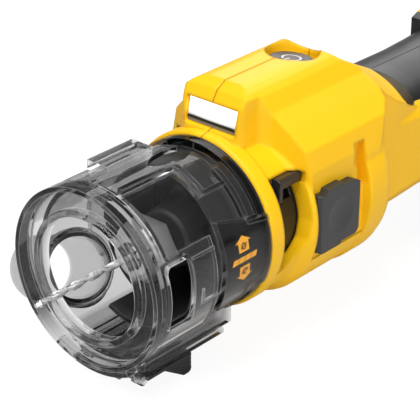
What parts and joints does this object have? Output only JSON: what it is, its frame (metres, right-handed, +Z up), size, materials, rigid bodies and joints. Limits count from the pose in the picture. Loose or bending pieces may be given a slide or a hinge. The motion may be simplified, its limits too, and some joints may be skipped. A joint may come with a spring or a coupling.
{
  "type": "drywall cut out tool",
  "caption": "Battery driven drywall cut out tool with a clear depth guide and dust shroud, side dust port, inline motor housing, rubber grip and slide-on pack.",
  "frame": {"origin": "centre of the tool's bounding box in X and Y, on the surface that the tool lies on (Z = 0)", "axes": "+X runs back along the spindle from the bit to the battery pack, +Y to the tool's right (the dust port's side), +Z up"},
  "size_m": [0.371, 0.1216, 0.118],
  "materials": {
    "clear": "smoked clear polycarbonate, polished",
    "clear_shroud": "smoked clear polycarbonate, polished",
    "clear_port": "smoked clear polycarbonate, polished",
    "yellow": "fine satin moulding",
    "black": "satin black moulding",
    "nose": "satin black moulding",
    "can": "glossy black",
    "cover": "satin dark grey, plain",
    "rubber": "fine grained rubber",
    "button": "satin dark grey with a white power sign",
    "steel": "ground steel",
    "nut_steel": "satin steel",
    "bearing": "polished steel",
    "core": "laminated steel",
    "copper": "enamelled copper",
    "board": "green circuit board",
    "lens": "frosted lamp window",
    "pack": "satin black moulding",
    "pack_trim": "satin yellow",
    "cell": "plastic sleeve",
    "lights": "light windows",
    "pin": "ground steel"
  },
  "bodies": {
    "tool": {"inner_guard": "nose", "front_bearing": "bearing", "rear_bearing": "bearing", "stator": "core", "windings": "copper", "front_plate": "nose", "motor_sleeve": "can", "left_housing": "yellow", "right_housing": "yellow", "housing_screws": "nut_steel", "led_lens": "lens", "led_board": "board", "button_switch": "black", "control_board": "board", "side_cover_left": "cover", "side_cover_right": "cover", "grip_left": "rubber", "grip_right": "rubber", "terminal_block": "black"},
    "spindle_group": {"cutting_bit": "steel", "collet": "nut_steel", "collet_nut": "nut_steel", "spindle": "steel", "rotor": "core", "fan": "nose"},
    "shroud": {"dust_shroud": "clear_shroud", "dust_port": "clear_port", "lock_pin": "pin"},
    "sleeve": {"depth_sleeve": "clear"},
    "lock_lever": {"depth_lock": "black"},
    "latch_left": {"shroud_latch_left": "black"},
    "latch_right": {"shroud_latch_right": "black"},
    "power_key": {"power_button": "button"},
    "battery": {"battery_base": "pack", "battery_cover": "pack", "battery_cells": "cell", "charge_lights": "lights"},
    "battery_release": {"battery_button": "pack_trim"},
    "charge_key": {"charge_button": "button"}
  },
  "joints": [
    {"name": "spindle_spin", "type": "hinge", "parent": "tool", "child": "spindle_group", "pos_m": [-0.1185, -0.01745, 0.058], "axis": [1, 0, 0], "continuous": true},
    {"name": "shroud_pull", "type": "slide", "parent": "tool", "child": "shroud", "axis": [-1, 0, 0], "range_m": [0, 0.03]},
    {"name": "depth_slide", "type": "slide", "parent": "shroud", "child": "sleeve", "axis": [-1, 0, 0], "range_m": [0, 0.014]},
    {"name": "depth_lock_swing", "type": "hinge", "parent": "shroud", "child": "lock_lever", "pos_m": [-0.142, -0.01745, 0.0101], "axis": [0, 1, 0], "range_deg": [0, 30]},
    {"name": "latch_left_press", "type": "slide", "parent": "tool", "child": "latch_left", "axis": [0, 1, 0], "range_m": [0, 0.001], "stiffness_N_per_m": 400, "springref_m": -0.001},
    {"name": "latch_right_press", "type": "slide", "parent": "tool", "child": "latch_right", "axis": [0, -1, 0], "range_m": [0, 0.001], "stiffness_N_per_m": 400, "springref_m": -0.001},
    {"name": "power_press", "type": "slide", "parent": "tool", "child": "power_key", "axis": [-0.1392, 0, -0.9903], "range_m": [0, 0.0015], "stiffness_N_per_m": 600, "springref_m": -0.001},
    {"name": "battery_slide", "type": "slide", "parent": "tool", "child": "battery", "axis": [0, 0, 1], "range_m": [0, 0.085]},
    {"name": "battery_release_press", "type": "slide", "parent": "battery", "child": "battery_release", "axis": [0, 0, -1], "range_m": [0, 0.0025], "stiffness_N_per_m": 500, "springref_m": -0.001},
    {"name": "charge_press", "type": "slide", "parent": "battery", "child": "charge_key", "axis": [-1, 0, 0], "range_m": [0, 0.0006], "stiffness_N_per_m": 500, "springref_m": -0.001}
  ]
}
